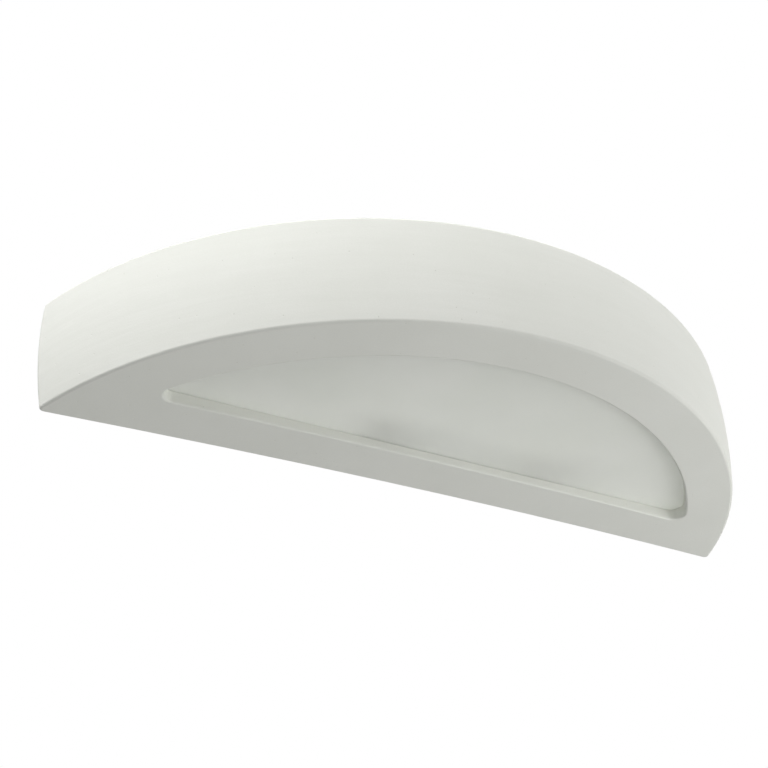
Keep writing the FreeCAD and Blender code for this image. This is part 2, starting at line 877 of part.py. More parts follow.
def make_pillar(d):
    body = new_body("shield_pillar")
    place = (pillar_axis(d), ZERO)
    post = sketch_on(body, "XZ_Plane", strip_front(d))
    hexagon(post, place, d.pillar_across_flats)
    pad(body, post, d.shield_distance - strip_front(d))
    spigot = sketch_on(body, "XZ_Plane", d.bracket_sheet)
    circle(spigot, place, d.shield_screw_diameter)
    pad(body, spigot, d.strip_sheet)
    bore = sketch_on(body, "XZ_Plane", d.shield_distance)
    circle(bore, place, d.shield_screw_diameter)
    pocket(body, bore, d.shield_screw_length)
    return body


def make_shield_screw(d):
    size = SimpleNamespace(
        diameter=d.shield_screw_diameter, length=d.shield_screw_length + d.shield_sheet,
        head=d.shield_screw_head, head_length=d.shield_screw_head_length,
        head_round=d.screw_head_round, slot=d.screw_slot)
    seat = d.shield_distance + d.shield_sheet
    return make_screw("shield_screw", "XZ_Plane", (pillar_axis(d), ZERO), seat, size)


def make_screw(name, role, place, seat, size):
    """Slotted screw with its head standing on an offset plane and its shank behind it."""
    body = new_body(name)
    head = sketch_on(body, role, seat)
    circle(head, place, size.head)
    pad(body, head, size.head_length)
    top = (seat + size.head_length).number

    def at_top(edge):
        box = edge.BoundBox
        ends = (box.XMin, box.XMax) if role == "YZ_Plane" else (-box.YMin, -box.YMax)
        return all(near(end, top) for end in ends)

    fillet(body, size.head_round, at_top)
    shank = sketch_on(body, role, seat)
    circle(shank, place, size.diameter)
    pad(body, shank, size.length, reverse=True)
    cross = sketch_on(body, role, seat + size.head_length)
    half = size.slot / 2
    low = (place[0] - size.head, place[1] - half)
    high = (place[0] + size.head, place[1] + half)
    rectangle(cross, low, high)
    pocket(body, cross, size.head_length / 2)
    return body


# Linear lamp. Its sketches lie in the plane of its axis, in front of the wall.

def lamp_sketch(body, d):
    return sketch_on(body, "XZ_Plane", d.lamp_distance)


def end_sketch(body, offset):
    """Sketch across the lamp's axis, at a distance from the middle plane."""
    return sketch_on(body, "YZ_Plane", offset)


def lamp_centre(d):
    return (-d.lamp_distance, d.lamp_height)


def contact_face(d):
    return d.lamp_length / 2 - d.contact_recess


def cap_inner(d):
    return d.lamp_length / 2 - d.cap_length


def tube_end(d):
    """Where the tube starts to narrow."""
    return d.lamp_length / 2 - d.tube_inset


def make_lamp_tube(d):
    body = new_body("lamp_tube")
    half = tube_end(d)
    centre = d.lamp_height
    outer = centre + d.tube_diameter / 2
    thin = centre + d.tube_end_diameter / 2
    end = half + d.tube_shoulder
    glass = lamp_sketch(body, d)
    outline(glass, [(-end, centre), (end, centre), (end, thin),
                    (half, outer), (-half, outer), (-end, thin)],
            {2: d.shoulder_radius, 4: d.shoulder_radius})
    axis_line(glass, (-end, centre), (end, centre))
    revolve(body, glass)
    pinch = end_sketch(body, 0)
    y, z = lamp_centre(d)
    half_width, half_height = d.pinch_width / 2, d.pinch_height / 2
    rectangle(pinch, (y - half_width, z - half_height), (y + half_width, z + half_height))
    pad(body, pinch, (cap_inner(d) + d.pinch_grip) * 2, both=True)
    cavity = lamp_sketch(body, d)
    inner = outer - d.tube_wall
    outline(cavity, [(-half - d.cavity_taper / 2, centre), (half + d.cavity_taper / 2, centre),
                     (half - d.cavity_taper / 2, inner), (d.cavity_taper / 2 - half, inner)])
    axis_line(cavity, (-end, centre), (end, centre))
    groove(body, cavity)
    leads = end_sketch(body, 0)
    circle(leads, lamp_centre(d), d.lead_diameter)
    pocket(body, leads, both=True)
    return body


def make_lamp_cap(d):
    body = new_body("lamp_cap")
    start = cap_inner(d)
    outside = end_sketch(body, start)
    circle(outside, lamp_centre(d), d.cap_diameter)
    pad(body, outside, d.cap_length)
    seat = end_sketch(body, contact_face(d) - d.contact_plate)
    circle(seat, lamp_centre(d), d.contact_diameter)
    pocket(body, seat, d.contact_recess + d.contact_plate, along=True)
    grip = end_sketch(body, start)
    y, z = lamp_centre(d)
    half_width, half_height = d.pinch_width / 2, d.pinch_height / 2
    rectangle(grip, (y - half_width, z - half_height), (y + half_width, z + half_height))
    pocket(body, grip, d.pinch_grip, along=True)
    lead = end_sketch(body, start)
    circle(lead, lamp_centre(d), d.lead_diameter)
    pocket(body, lead, d.cap_length, along=True)
    return body


def make_lamp_contact(d):
    body = new_body("lamp_contact")
    disc = end_sketch(body, contact_face(d) - d.contact_plate)
    circle(disc, lamp_centre(d), d.contact_diameter)
    pad(body, disc, d.contact_plate)
    return body


def make_filament(d):
    body = new_body("lamp_filament")
    coil = end_sketch(body, 0)
    circle(coil, lamp_centre(d), d.coil_diameter)
    pad(body, coil, (tube_end(d) - d.coil_inset) * 2, both=True)
    leads = end_sketch(body, 0)
    circle(leads, lamp_centre(d), d.lead_diameter)
    pad(body, leads, (contact_face(d) - d.contact_plate) * 2, both=True)
    return body


def make_supports(d):
    """Three wire rings that stand the filament off the tube's wall, each with a spoke."""
    body = new_body("filament_supports")
    wall = d.tube_diameter / 2 - d.tube_wall
    ring = wall - d.support_wire / 2 - d.support_gap
    y, z = lamp_centre(d)
    for step in (-1, 0, 1):
        place = d.support_pitch * step
        section = lamp_sketch(body, d)
        circle(section, (place, z + ring), d.support_wire)
        axis_line(section, (place, z), (place + d.support_pitch, z))
        revolve(body, section)
        spoke = sketch_on(body, "XY_Plane", z + d.coil_diameter / 2)
        circle(spoke, (place, y), d.support_spoke)
        pad(body, spoke, ring - d.coil_diameter / 2)
    return body


# Lampholders and their sprung contacts

def chamber_start(d):
    return holder_mouth(d) + d.cup_depth + d.cup_partition


def collar_start(d):
    return chamber_start(d) + d.contact_travel + d.stop_gap


def make_lampholder(d):
    body = new_body("lampholder_right")
    mouth = holder_mouth(d)
    y, z = lamp_centre(d)
    block = end_sketch(body, mouth)
    half = d.holder_width / 2
    rectangle(block, (y - half, z - d.holder_below), (y + half, z + d.holder_above))
    pad(body, block, d.holder_length)
    back = arm_inside(d).number
    fillet(body, d.holder_round, lambda edge: not near(edge.BoundBox.XMin, back))
    for start, diameter, depth in (
        (mouth, d.cup_diameter, d.cup_depth),
        (mouth, d.tip_diameter + d.running_gap * 2, d.holder_length),
        (chamber_start(d), d.chamber_diameter, d.holder_length),
    ):
        hole = end_sketch(body, start)
        circle(hole, (y, z), diameter)
        pocket(body, hole, depth, along=True)
    screw = end_sketch(body, arm_inside(d))
    circle(screw, (y, z - d.holder_screw_drop), d.holder_screw_diameter)
    pocket(body, screw, d.holder_screw_length - d.strip_sheet)
    return body


def make_contact(d):
    body = new_body("contact_right")
    start = collar_start(d)
    tip = end_sketch(body, contact_face(d))
    circle(tip, lamp_centre(d), d.tip_diameter)
    pad(body, tip, start - contact_face(d))
    collar = end_sketch(body, start)
    circle(collar, lamp_centre(d), d.chamber_diameter - d.running_gap * 2)
    pad(body, collar, d.collar_length)
    stem = end_sketch(body, start + d.collar_length)
    circle(stem, lamp_centre(d), d.stem_diameter)
    pad(body, stem, d.stem_length)
    return body


def make_spring(d):
    """Helical spring between the contact's collar and the end plate."""
    body = new_body("contact_spring_right")
    start = collar_start(d) + d.collar_length + d.spring_wire / 2
    end = arm_inside(d) - d.end_plate - d.spring_wire / 2
    coil = d.chamber_diameter / 2 - d.spring_gap - d.spring_wire / 2
    section = lamp_sketch(body, d)
    circle(section, (start, d.lamp_height + coil), d.spring_wire)
    axis_line(section, (start, d.lamp_height), (end, d.lamp_height))
    helix = body.newObject("PartDesign::AdditiveHelix", "contact_spring_helix")
    helix.Profile = section
    helix.ReferenceAxis = (section, ["Axis0"])
    helix.Mode = "height-turns-angle"
    bind(helix, "Height", end - start)
    bind(helix, "Turns", d.spring_turns)
    return body


def make_holder_terminal(d):
    """End plate behind the spring, with a tail through the arm and a barrel for the wire."""
    body = new_body("holder_terminal")
    y, z = lamp_centre(d)
    inside = arm_inside(d)
    plate = end_sketch(body, inside - d.end_plate)
    circle(plate, (y, z), d.chamber_diameter)
    pad(body, plate, d.end_plate)
    tail = end_sketch(body, inside)
    circle(tail, (y, z), d.tail_diameter)
    pad(body, tail, d.strip_sheet + d.tail_reach)
    barrel = sketch_on(body, "XY_Plane", z - d.barrel_below)
    circle(barrel, (inside + d.strip_sheet + d.tail_reach, y), d.barrel_diameter)
    pad(body, barrel, d.barrel_below + d.barrel_above)
    return body


def make_holder_screw(d):
    size = SimpleNamespace(
        diameter=d.holder_screw_diameter, length=d.holder_screw_length,
        head=d.holder_screw_head, head_length=d.holder_screw_head_length,
        head_round=d.screw_head_round, slot=d.screw_slot)
    y, z = lamp_centre(d)
    place = (y, z - d.holder_screw_drop)
    return make_screw("holder_screw", "YZ_Plane", place, arm_inside(d) + d.strip_sheet, size)


# Terminal block

def pole_places(d):
    return [d.pole_pitch * step for step in (-1, 0, 1)]


def block_front(d):
    return strip_front(d) + d.block_depth


def make_terminal_block(d):
    body = new_body("terminal_block")
    half_width, half_height = d.block_width / 2, d.block_height / 2
    face = sketch_on(body, "XZ_Plane", strip_front(d))
    rectangle(face, (-half_width, -half_height), (half_width, half_height))
    pad(body, face, d.block_depth)
    back = -strip_front(d).number
    fillet(body, d.block_round,
           lambda edge: edge.BoundBox.YMax < back - TINY or edge.BoundBox.YLength > TINY)
    ways = sketch_on(body, "XY_Plane")
    for x in pole_places(d):
        circle(ways, (x, d.pole_depth - block_front(d)), d.clamp_diameter)
    pocket(body, ways, both=True)
    wells = sketch_on(body, "XZ_Plane", block_front(d))
    for x in pole_places(d):
        for rise in (-1, 1):
            circle(wells, (x, d.well_rise * rise), d.well_diameter)
    pocket(body, wells, d.pole_depth)
    fixing = sketch_on(body, "XZ_Plane", block_front(d))
    circle(fixing, (d.pole_pitch / 2, ZERO), d.block_screw_diameter)
    pocket(body, fixing, d.block_depth)
    sink = sketch_on(body, "XZ_Plane", block_front(d))
    circle(sink, (d.pole_pitch / 2, ZERO), d.block_screw_head)
    pocket(body, sink, d.block_screw_head_length)
    return body


def make_clamps(d):
    body = new_body("terminal_clamps")
    depth = d.pole_depth - block_front(d)
    tubes = sketch_on(body, "XY_Plane")
    bores = sketch_on(body, "XY_Plane")
    for x in pole_places(d):
        circle(tubes, (x, depth), d.clamp_diameter)
        circle(bores, (x, depth), d.clamp_bore)
    pad(body, tubes, d.clamp_length, both=True)
    pocket(body, bores, both=True)
    threads = sketch_on(body, "XZ_Plane", -depth)
    for x in pole_places(d):
        for rise in (-1, 1):
            circle(threads, (x, d.well_rise * rise), d.clamp_screw_diameter)
    pocket(body, threads, d.clamp_diameter, along=True)
    return body


def make_clamp_screws(d):
    body = new_body("terminal_screws")
    tip = block_front(d) - d.pole_depth + d.core_diameter / 2
    top = block_front(d) - d.clamp_screw_sink
    shanks = sketch_on(body, "XZ_Plane", tip)
    cuts = sketch_on(body, "XZ_Plane", top)
    half = d.clamp_screw_slot / 2
    for x in pole_places(d):
        for rise in (-1, 1):
            z = d.well_rise * rise
            circle(shanks, (x, z), d.clamp_screw_diameter)
            low = (x - d.clamp_screw_diameter, z - half)
            high = (x + d.clamp_screw_diameter, z + half)
            rectangle(cuts, low, high)
    pad(body, shanks, top - tip)
    pocket(body, cuts, d.clamp_screw_sink)
    return body


def make_block_screw(d):
    size = SimpleNamespace(
        diameter=d.block_screw_diameter,
        length=d.block_depth - d.block_screw_head_length + d.strip_sheet,
        head=d.block_screw_head, head_length=d.block_screw_head_length,
        head_round=d.screw_head_round, slot=d.clamp_screw_slot)
    seat = block_front(d) - d.block_screw_head_length
    return make_screw("block_screw", "XZ_Plane", (d.pole_pitch / 2, ZERO), seat, size)


# Earth point and cable grommet

def make_earth_screw(d):
    seat = strip_front(d) + d.tag_thickness
    size = SimpleNamespace(
        diameter=d.earth_screw_diameter, length=seat,
        head=d.earth_screw_head, head_length=d.earth_screw_head_length,
        head_round=d.screw_head_round, slot=d.screw_slot)
    return make_screw("earth_screw", "XZ_Plane", (d.earth_offset, ZERO), seat, size)


def make_earth_tag(d):
    body = new_body("earth_tag")
    place = (d.earth_offset, ZERO)
    ring = sketch_on(body, "XZ_Plane", strip_front(d))
    circle(ring, place, d.tag_diameter)
    pad(body, ring, d.tag_thickness)
    barrel = sketch_on(body, "XY_Plane", d.tag_barrel_start)
    circle(barrel, (d.earth_offset, tag_barrel_axis(d)), d.tag_barrel_diameter)
    pad(body, barrel, d.tag_barrel_end - d.tag_barrel_start)
    neck = sketch_on(body, "XZ_Plane", strip_front(d))
    half = d.tag_barrel_diameter / 2
    top = d.tag_barrel_start + d.tag_thickness
    rectangle(neck, (d.earth_offset - half, ZERO), (d.earth_offset + half, top))
    pad(body, neck, d.tag_thickness)
    hole = sketch_on(body, "XZ_Plane", strip_front(d))
    circle(hole, place, d.earth_screw_diameter)
    pocket(body, hole, d.tag_thickness, along=True)
    return body


def tag_barrel_axis(d):
    return -strip_front(d) - d.tag_barrel_diameter / 2


def make_grommet(d):
    body = new_body("cable_grommet")
    place = (-d.grommet_offset, ZERO)
    stages = (
        (d.grommet_gap, d.grommet_rear, d.bracket_sheet - d.grommet_gap),
        (d.bracket_sheet, d.grommet_neck, d.strip_sheet),
        (strip_front(d), d.grommet_flange, d.grommet_front),
    )
    for start, diameter, length in stages:
        disc = sketch_on(body, "XZ_Plane", start)
        circle(disc, place, diameter)
        pad(body, disc, length)
    bore = sketch_on(body, "XZ_Plane")
    circle(bore, place, d.grommet_bore)
    pocket(body, bore, strip_front(d) + d.grommet_front, along=True)
    return body


# Wires: a round cover along straight runs and tangent bends, and a bare end in the clamp

def run_through(points, share):
    """Wire along straight runs, with a tangent arc at each turn."""
    edges = []
    place = points[0]
    radii = []
    for before, corner, after in zip(points, points[1:], points[2:]):
        back, ahead = (before - corner), (after - corner)
        turn = math.pi - back.getAngle(ahead)
        setback = share * min(back.Length, ahead.Length)
        radius = setback / math.tan(turn / 2)
        start = corner + back.normalize() * setback
        end = corner + ahead.normalize() * setback
        inward = (back + ahead).normalize()
        middle = corner + inward * (radius / math.cos(turn / 2) - radius)
        edges.append(Part.LineSegment(place, start).toShape())
        edges.append(Part.Arc(start, middle, end).toShape())
        place = end
        radii.append(radius)
    edges.append(Part.LineSegment(place, points[-1]).toShape())
    return Part.Wire(edges), radii


def make_wire(name, points, d):
    """Insulated wire whose route is points; its first end has the bare core."""
    route = [Vector(*(as_size(size).number for size in point)) for point in points]
    path, radii = run_through(route, d.bend_share.number)
    start = route[0]
    along = (route[1] - route[0]).normalize()
    section = Part.Wire(Part.makeCircle(d.wire_diameter.number / 2, start, along))
    cover = path.makePipeShell([section], True, False)
    core = Part.makeCylinder(d.core_diameter.number / 2, d.core_length.number, start, along * -1)
    expected = path.Length * math.pi * d.wire_diameter.number ** 2 / 4
    print(f"{name}: bends {[round(radius, 1) for radius in radii]}, "
          f"volume {cover.Volume / expected:.3f} of section times length")
    wire = DOC.addObject("Part::Feature", name)
    wire.Shape = cover.fuse(core)
    return wire


def lead_route(d, pole, way):
    """From a pole's top, over an arm and down into the lampholder's terminal."""
    depth = d.pole_depth - block_front(d)
    side = (arm_inside(d) + d.strip_sheet + d.tail_reach) * way
    top = strip_top(d) + d.lead_wire_rise
    return [
        (pole, depth, d.block_height / 2),
        (pole, depth, top),
        (side, depth, top),
        (side, -d.lamp_distance, top),
        (side, -d.lamp_distance, d.lamp_height + d.barrel_above),
    ]


def earth_route(d):
    depth = d.pole_depth - block_front(d)
    top = d.block_height / 2 + d.earth_wire_rise
    return [
        (d.pole_pitch, depth, d.block_height / 2),
        (d.pole_pitch, depth, top),
        (d.earth_offset, tag_barrel_axis(d), top),
        (d.earth_offset, tag_barrel_axis(d), d.tag_barrel_end),
    ]


# Assembly

def make_pieces(d):
    """Every sub-part by its own name."""
    frame = shade_frame(d)
    pieces = {
        "ceramic_shade": make_shade(d, frame),
        "diffuser_glass": make_glass(d, frame),
        "glass_pads": make_glass_pads(d, frame),
        "wall_bracket": make_wall_bracket(d),
        "shade_studs": pair(make_stud(d), "shade_studs"),
        "stud_washers": pair(make_washer(d), "stud_washers"),
        "thumb_nuts": pair(make_thumb_nut(d), "thumb_nuts"),
        "lamp_bracket": make_lamp_bracket(d),
        "bracket_rivets": make_rivets(d),
        "heat_shield": make_heat_shield(d),
        "shield_pillars": pair(make_pillar(d), "shield_pillars"),
        "shield_screws": pair(make_shield_screw(d), "shield_screws"),
        "lamp_tube": make_lamp_tube(d),
        "lamp_caps": pair(make_lamp_cap(d), "lamp_caps"),
        "lamp_contacts": pair(make_lamp_contact(d), "lamp_contacts"),
        "lamp_filament": make_filament(d),
        "filament_supports": make_supports(d),
        "holder_terminals": pair(make_holder_terminal(d), "holder_terminals"),
        "holder_screws": pair(make_holder_screw(d), "holder_screws"),
        "terminal_block": make_terminal_block(d),
        "terminal_clamps": make_clamps(d),
        "terminal_screws": make_clamp_screws(d),
        "block_screw": make_block_screw(d),
        "earth_screw": make_earth_screw(d),
        "earth_tag": make_earth_tag(d),
        "earth_wire": make_wire("earth_wire", earth_route(d), d),
        "live_wire": make_wire("live_wire", lead_route(d, ZERO, 1), d),
        "neutral_wire": make_wire("neutral_wire", lead_route(d, -d.pole_pitch, -1), d),
        "cable_grommet": make_grommet(d),
    }
    sided = {
        "lampholder": make_lampholder(d),
        "contact": make_contact(d),
        "contact_spring": make_spring(d),
    }
    for name, right in sided.items():
        pieces[f"{name}_right"] = right
        pieces[f"{name}_left"] = opposite(right, f"{name}_left")
    return pieces


def export(pieces):
    """Check every object and every shape, then write one file for each sub-part."""
    DOC.recompute()
    failed = [item.Name for item in DOC.Objects if "Invalid" in item.State or "Error" in item.State]
    if failed:
        raise RuntimeError(f"failed objects: {failed}")
    for name, piece in pieces.items():
        piece.Label = name
        if piece.Shape.isNull() or not piece.Shape.isValid() or not piece.Shape.Solids:
            raise RuntimeError(f"{name} has no valid solid")
    os.makedirs("parts", exist_ok=True)
    for name, piece in pieces.items():
        piece.Shape.exportStep(f"parts/{name}.step")
        print(f"{name}: {len(piece.Shape.Solids)} solids, {piece.Shape.Volume:.0f} mm3")


export(make_pieces(fill_sheet()))
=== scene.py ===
import json
import math

import bpy
from mathutils import Matrix, Vector


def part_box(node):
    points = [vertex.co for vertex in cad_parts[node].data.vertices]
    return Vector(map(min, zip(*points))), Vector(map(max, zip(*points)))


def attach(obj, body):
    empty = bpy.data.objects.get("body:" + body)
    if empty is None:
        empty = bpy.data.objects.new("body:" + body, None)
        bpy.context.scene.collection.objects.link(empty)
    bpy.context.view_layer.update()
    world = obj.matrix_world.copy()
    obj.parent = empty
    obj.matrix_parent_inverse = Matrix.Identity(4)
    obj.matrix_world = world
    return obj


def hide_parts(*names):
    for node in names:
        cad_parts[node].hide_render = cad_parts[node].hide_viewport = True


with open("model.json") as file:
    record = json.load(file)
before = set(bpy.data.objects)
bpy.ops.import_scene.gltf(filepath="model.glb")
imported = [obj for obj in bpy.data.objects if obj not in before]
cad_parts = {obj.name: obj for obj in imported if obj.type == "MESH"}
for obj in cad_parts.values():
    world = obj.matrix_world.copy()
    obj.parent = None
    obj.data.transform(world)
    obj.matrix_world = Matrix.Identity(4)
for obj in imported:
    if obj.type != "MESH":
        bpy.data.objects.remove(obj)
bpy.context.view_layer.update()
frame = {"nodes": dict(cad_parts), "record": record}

# Ceramic wall light, lit softly and seen from below and from its left front. Metres, as in the frame:
# X along the wall, +Y into the wall, +Z up.

NODES = frame["nodes"]
MM = 0.001

# Camera, found from the outline and from the edges of the window in the floor
CAMERA_PLACE = Vector((-0.273452, -0.434109, -0.317343))
CAMERA_AZIMUTH = -30.5917
CAMERA_ELEVATION = -34.9476
CAMERA_ROLL = -3.8820
CAMERA_LENS = 51.9683
SENSOR_WIDTH = 36.0

# Lamp coil, from the lamp's place in the frame
LAMP_Y = -44.0 * MM
LAMP_Z = 3.0 * MM
COIL_HALF = 20.35 * MM
COIL_RADIUS = 0.62 * MM
COIL_WIRE = 0.13 * MM
COIL_TURNS = 62
COIL_STEPS = 14                    # points in each turn
LEAD_RADIUS = 0.4 * MM

# Yellow stripe on the earth wire: where it starts, its drift in y for each x, and its half width
STRIPE_X = 9.0 * MM
STRIPE_Y = -9.7 * MM
STRIPE_SLOPE = 5.3 / 16.0
STRIPE_INNER = 0.42 * MM
STRIPE_OUTER = 0.50 * MM

GLASS_THROUGH = 0.42               # share of the light that the frosted plate lets through
WAVE_BANDS = 3.18                  # bands in each metre of a wave texture at scale 1
MIX_SHARE, MIX_FIRST, MIX_SECOND, MIX_RESULT = 0, 6, 7, 2    # colour sockets of the mix node


class Look:
    """A node material and short ways to add to it."""

    def __init__(self, name):
        self.material = bpy.data.materials.new(name)
        self.material.use_nodes = True
        self.tree = self.material.node_tree
        self.shader = self.tree.nodes["Principled BSDF"]
        self.output = self.tree.nodes["Material Output"]
        self.place = self.add("ShaderNodeTexCoord").outputs["Object"]

    def add(self, kind, **settings):
        node = self.tree.nodes.new(kind)
        for key, value in settings.items():
            setattr(node, key, value)
        return node

    def link(self, source, target):
        self.tree.links.new(source, target)

    def put(self, socket, value):
        """Link a socket to another, or set its number or colour."""
        if isinstance(value, bpy.types.NodeSocket):
            self.link(value, socket)
        else:
            socket.default_value = value

    def set(self, **values):
        for key, value in values.items():
            self.put(self.shader.inputs[key.replace("_", " ")], value)
        return self

    def stretched(self, scale):
        """Place in the object, stretched by a factor along each axis."""
        node = self.add("ShaderNodeVectorMath", operation="MULTIPLY")
        self.link(self.place, node.inputs[0])
        node.inputs[1].default_value = scale
        return node.outputs[0]

    def noise(self, size, detail=2.0, stretch=None):
        """Noise whose features are about size metres across, 0 to 1."""
        node = self.add("ShaderNodeTexNoise")
        self.link(self.stretched(stretch) if stretch else self.place, node.inputs["Vector"])
        node.inputs["Scale"].default_value = 1 / size
        node.inputs["Detail"].default_value = detail
        return node.outputs[0]

    def math(self, operation, *values):
        node = self.add("ShaderNodeMath", operation=operation)
        for socket, value in zip(node.inputs, values):
            self.put(socket, value)
        return node.outputs[0]

    def spread(self, source, low, high, start=0.3, end=0.7):
        """Map a 0 to 1 signal, as noise gives it, to a range."""
        node = self.add("ShaderNodeMapRange")
        for name, value in (("Value", source), ("From Min", start), ("From Max", end),
                            ("To Min", low), ("To Max", high)):
            self.put(node.inputs[name], value)
        return node.outputs[0]

    def blend(self, share, first, second):
        """Colour between two, by a 0 to 1 share."""
        node = self.add("ShaderNodeMix", data_type="RGBA")
        self.put(node.inputs[MIX_SHARE], share)
        self.put(node.inputs[MIX_FIRST], first)
        self.put(node.inputs[MIX_SECOND], second)
        return node.outputs[MIX_RESULT]

    def bump(self, *layers):
        """Bump from (height signal, metres of height) layers."""
        normal = None
        for signal, height in layers:
            node = self.add("ShaderNodeBump")
            node.inputs["Strength"].default_value = 1.0
            node.inputs["Distance"].default_value = height
            self.link(signal, node.inputs["Height"])
            if normal:
                self.link(normal, node.inputs["Normal"])
            normal = node.outputs[0]
        self.link(normal, self.shader.inputs["Normal"])
        return normal


def rgb(red, green, blue):
    return (red, green, blue, 1.0)


def dimmed(colour, share):
    """The colour with its light scaled by a share."""
    return tuple(part * share for part in colour[:3]) + (1.0,)


# Materials

def bisque():
    """Matte unglazed ceramic: faint cloudiness, sponge marks round the band, grain and a few pinholes,
    whose pits are darkened with painted shade.
    """
    look = Look("bisque")
    clouds = look.noise(0.055, 3.0)
    marks = look.noise(0.012, 3.0, stretch=(0.25, 0.25, 3.0))
    grain = look.noise(0.0007, 3.0)
    pores = look.add("ShaderNodeTexVoronoi")
    look.link(look.place, pores.inputs["Vector"])
    pores.inputs["Scale"].default_value = 1 / 0.006
    # Pinhole mask: the dents for the bump, and the places darkened below with painted shade.
    pinhole_and_shade = look.spread(pores.outputs["Distance"], 1.0, 0.0, 0.02, 0.06)
    tone = look.blend(look.spread(clouds, 0.0, 1.0), rgb(0.792, 0.803, 0.752), rgb(0.822, 0.831, 0.786))
    tone = look.blend(look.spread(marks, 0.0, 0.35), tone, rgb(0.768, 0.780, 0.728))
    tone = look.blend(look.spread(grain, 0.0, 0.18), tone, rgb(0.70, 0.71, 0.66))
    # Painted shade: the pinholes' pits darkened in colour.
    tone = look.blend(look.math("MULTIPLY", pinhole_and_shade, 0.45), tone, rgb(0.52, 0.52, 0.47))
    look.set(Base_Color=tone, Roughness=look.spread(clouds, 0.78, 0.88))
    look.shader.inputs["Specular IOR Level"].default_value = 0.28
    look.bump((clouds, 0.0007), (marks, 0.00008), (grain, 0.00003),
              (look.math("SUBTRACT", 1.0, pinhole_and_shade), 0.00015))
    return look.material


def frosted_glass():
    """Etched plate that scatters the light coming through it, with a faint satin shine."""
    look = Look("frosted_glass")
    etch = look.noise(0.0009, 3.0)
    drift = look.noise(0.05, 2.0)
    tint = look.blend(look.spread(drift, 0.0, 1.0), rgb(0.850, 0.862, 0.828), rgb(0.878, 0.886, 0.858))
    look.set(Base_Color=tint, Roughness=look.spread(etch, 0.46, 0.58))
    look.shader.inputs["IOR"].default_value = 1.5
    look.shader.inputs["Specular IOR Level"].default_value = 0.3
    normal = look.bump((etch, 0.00002))
    through = look.add("ShaderNodeBsdfTranslucent")
    look.link(tint, through.inputs["Color"])
    look.link(normal, through.inputs["Normal"])
    mixed = look.add("ShaderNodeMixShader")
    mixed.inputs[0].default_value = GLASS_THROUGH
    look.link(look.shader.outputs[0], mixed.inputs[1])
    look.link(through.outputs[0], mixed.inputs[2])
    look.link(mixed.outputs[0], look.output.inputs["Surface"])
    return look.material


def metal(name, colour, rough, grain, stretch=None, worn=0.1):
    """Metal whose roughness and tone vary with a grain, brushed where stretch draws it out."""
    look = Look(name)
    fine = look.noise(grain, 3.0, stretch=stretch)
    broad = look.noise(0.012, 3.0)
    tone = look.blend(look.spread(broad, 0.0, 1.0), colour, dimmed(colour, 1 - worn))
    look.set(Base_Color=tone, Metallic=1.0, Roughness=look.spread(fine, rough - 0.08, rough + 0.1))
    look.bump((fine, 0.00002))
    return look.material


def threaded(name, colour, rough, axis, pitch):
    """Metal with a screw thread's ridges across one axis (0, 1 or 2)."""
    look = Look(name)
    turn = look.add("ShaderNodeTexWave", wave_type="BANDS", bands_direction="XYZ"[axis])
    look.link(look.place, turn.inputs["Vector"])
    turn.inputs["Scale"].default_value = 1 / (pitch * WAVE_BANDS)
    stain = look.noise(0.004, 3.0)
    look.set(Base_Color=look.blend(look.spread(stain, 0.0, 0.4), colour, rgb(0.34, 0.34, 0.35)),
             Metallic=1.0, Roughness=look.spread(stain, rough - 0.05, rough + 0.1))
    look.bump((turn.outputs[1], 0.0004))
    return look.material


def coated(name, colour, rough=0.42, peel=0.0011, height=0.00003, dust=0.06):
    """Powder coat or moulded plastic, with fine orange peel and a little dust."""
    look = Look(name)
    skin = look.noise(peel, 2.0)
    film = look.noise(0.02, 3.0)
    look.set(Base_Color=look.blend(look.spread(film, 0.0, 1.0), colour, dimmed(colour, 1 - dust)),
             Roughness=look.spread(film, rough - 0.05, rough + 0.08))
    look.bump((skin, height))
    return look.material


def steatite():
    """Dense cream technical ceramic with faint specks."""
    look = Look("steatite")
    specks = look.noise(0.0006, 4.0)
    broad = look.noise(0.008, 2.0)
    tone = look.blend(look.spread(broad, 0.0, 1.0), rgb(0.80, 0.77, 0.68), rgb(0.86, 0.83, 0.75))
    tone = look.blend(look.spread(specks, 0.0, 0.6, 0.6, 0.75), tone, rgb(0.58, 0.53, 0.44))
    look.set(Base_Color=tone, Roughness=look.spread(broad, 0.5, 0.62))
    look.bump((specks, 0.00003))
    return look.material


def quartz():
    """Clear lamp glass with faint drawn lines."""
    look = Look("quartz")
    lines = look.noise(0.0012, 2.0, stretch=(0.03, 1.0, 1.0))
    look.set(Base_Color=rgb(0.97, 0.98, 0.98), Roughness=look.spread(lines, 0.0, 0.06))
    look.shader.inputs["Transmission Weight"].default_value = 1.0
    look.shader.inputs["IOR"].default_value = 1.46
    look.bump((lines, 0.00002))
    return look.material


def sleeve(name, colour):
    """Varnished glass-fibre sleeve over a wire, with a fine crossed braid."""
    look = Look(name)
    braid = look.add("ShaderNodeTexChecker")
    look.link(look.stretched((1.0, 1.3, 1.0)), braid.inputs["Vector"])
    braid.inputs["Scale"].default_value = 1 / 0.00045
    fray = look.noise(0.0006, 2.0)
    tone = look.blend(look.math("MULTIPLY", braid.outputs["Fac"], 0.5), colour, dimmed(colour, 0.55))
    look.set(Base_Color=tone, Roughness=look.spread(fray, 0.5, 0.7))
    look.bump((braid.outputs["Fac"], 0.00005), (fray, 0.00006))
    return look.material


